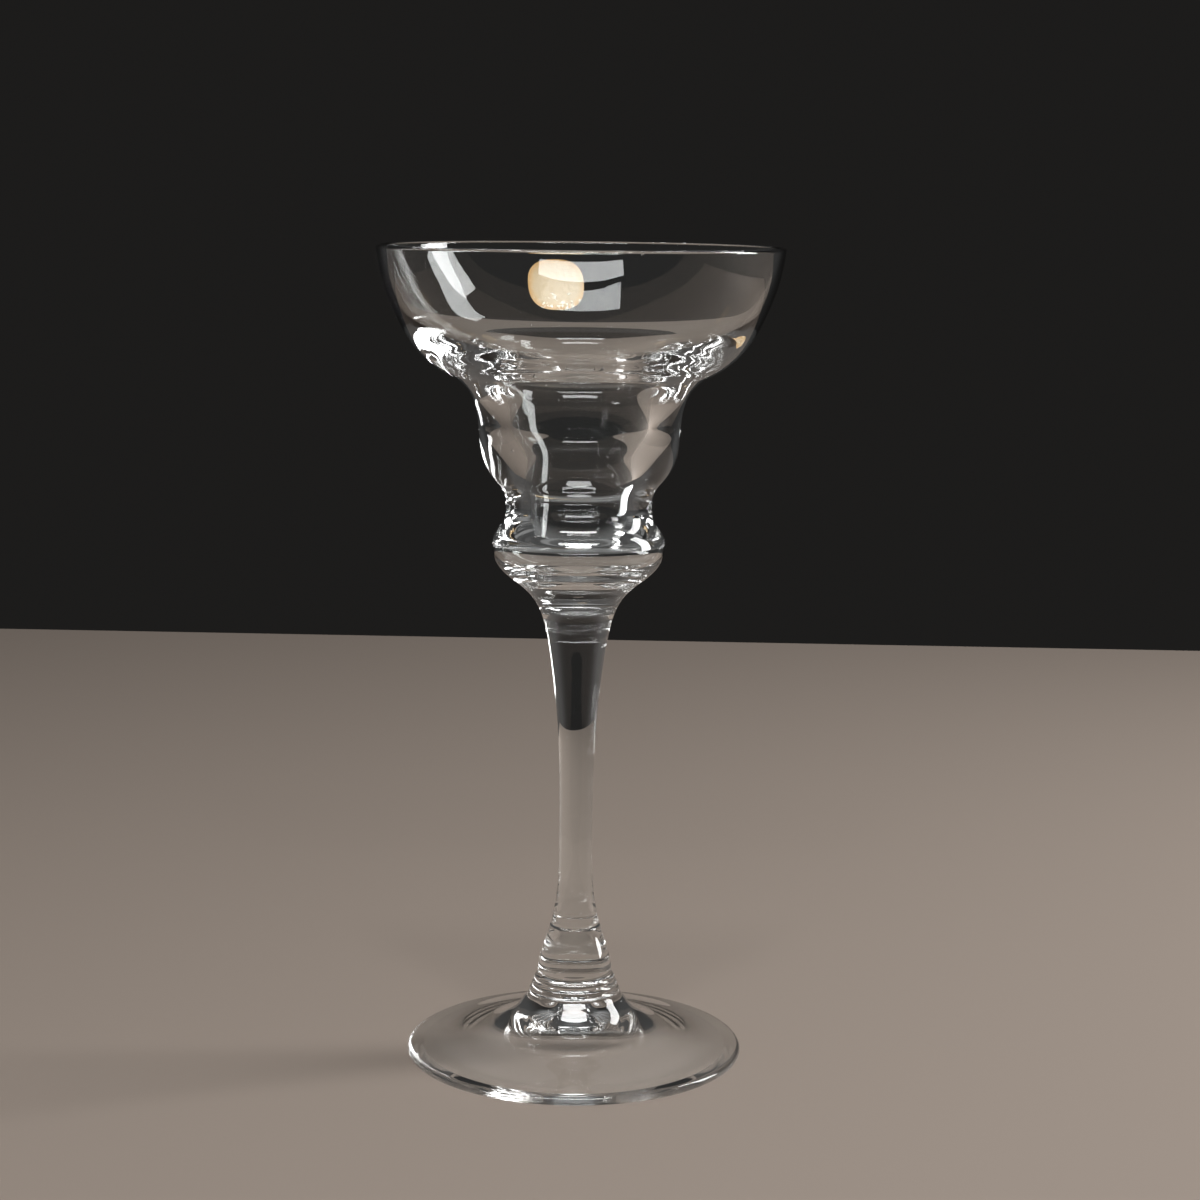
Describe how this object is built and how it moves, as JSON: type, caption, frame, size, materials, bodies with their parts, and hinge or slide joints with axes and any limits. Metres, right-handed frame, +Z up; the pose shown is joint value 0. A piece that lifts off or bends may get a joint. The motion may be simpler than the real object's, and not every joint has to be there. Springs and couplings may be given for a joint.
{
  "type": "sherbet glass",
  "caption": "Clear sherbet glass: a wide coupe over a stepped, thick-walled barrel and bulge, on a slender stem with a collar and a round foot.",
  "frame": {"origin": "on the table, under the glass's axis, at the plane of the foot's resting ring", "axes": "+Z up along the glass's axis, +Y towards the back of the bowl where the label is, +X to the right seen from the front"},
  "size_m": [0.0912, 0.0912, 0.186],
  "materials": {
    "clear_glass": "polished",
    "aged_adhesive": "satin",
    "label_paper": "matte"
  },
  "bodies": {
    "root": {"foot": "clear_glass", "collar": "clear_glass", "stem_base": "clear_glass", "stem": "clear_glass", "bowl": "clear_glass", "label_adhesive": "aged_adhesive", "label_paper": "label_paper"}
  },
  "joints": []
}
